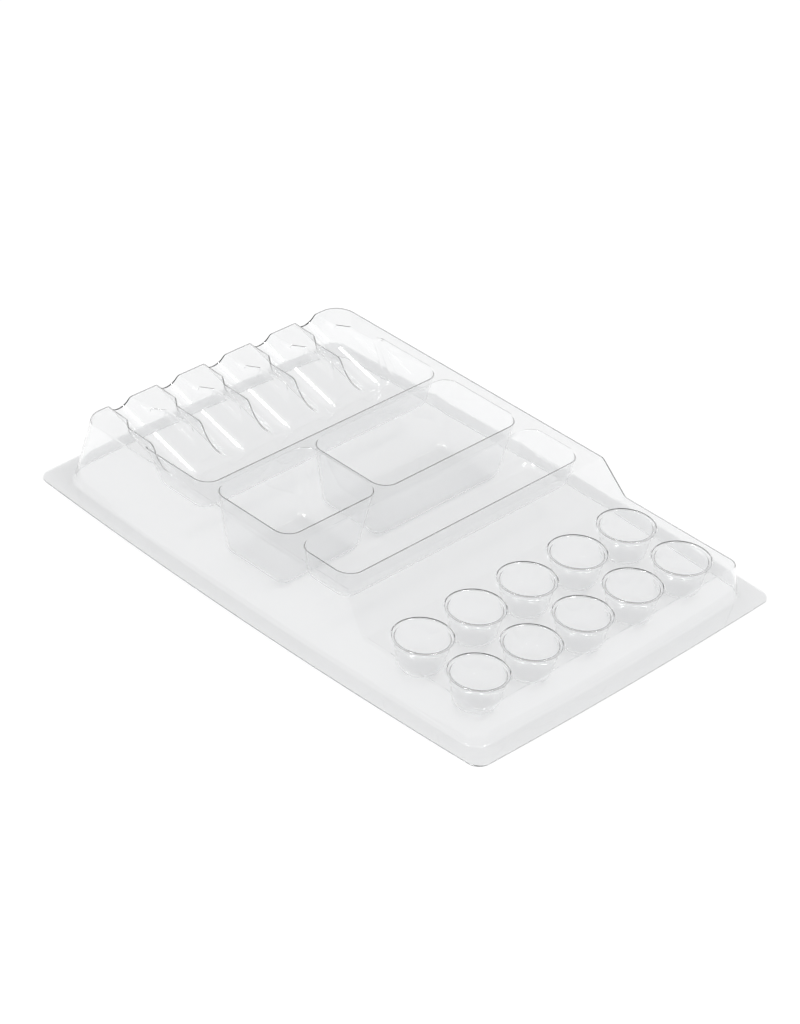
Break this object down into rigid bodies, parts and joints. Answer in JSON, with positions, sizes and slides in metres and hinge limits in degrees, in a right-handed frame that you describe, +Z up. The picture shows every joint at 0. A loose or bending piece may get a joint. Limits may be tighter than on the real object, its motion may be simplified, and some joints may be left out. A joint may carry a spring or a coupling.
{
  "type": "parts sorting tray",
  "caption": "clear vacuum-formed tray with a low deck of round paint cups, a sloped step up to a trough, two bins and a tool bay, and a grooved rest that holds brushes and tools",
  "frame": {"origin": "the middle of the flange's underside, on the surface the tray stands on", "axes": "+Z up; +Y runs along the tray's length, from the cups at the front to the tool rest at the rear; +X to the right when the tray is seen from the front"},
  "size_m": [0.206, 0.291, 0.034],
  "materials": {
    "clear_sheet": "clear, thin vacuum-formed plastic sheet with a glossy surface"
  },
  "bodies": {
    "root": {"rim_flange": "clear_sheet", "front_skirt": "clear_sheet", "left_skirt": "clear_sheet", "right_skirt": "clear_sheet", "rear_skirt": "clear_sheet", "low_deck": "clear_sheet", "step_slope": "clear_sheet", "high_deck": "clear_sheet", "long_trough": "clear_sheet", "small_bin": "clear_sheet", "large_bin": "clear_sheet", "tool_bay": "clear_sheet", "rest_end_left": "clear_sheet", "rest_end_right": "clear_sheet", "rest_rib_1": "clear_sheet", "rest_rib_2": "clear_sheet", "rest_rib_3": "clear_sheet", "rest_rib_4": "clear_sheet", "tool_groove_1": "clear_sheet", "tool_groove_2": "clear_sheet", "tool_groove_3": "clear_sheet", "tool_groove_4": "clear_sheet", "tool_groove_5": "clear_sheet", "cup_01": "clear_sheet", "cup_02": "clear_sheet", "cup_03": "clear_sheet", "cup_04": "clear_sheet", "cup_05": "clear_sheet", "cup_06": "clear_sheet", "cup_07": "clear_sheet", "cup_08": "clear_sheet", "cup_09": "clear_sheet", "cup_10": "clear_sheet"}
  },
  "joints": []
}
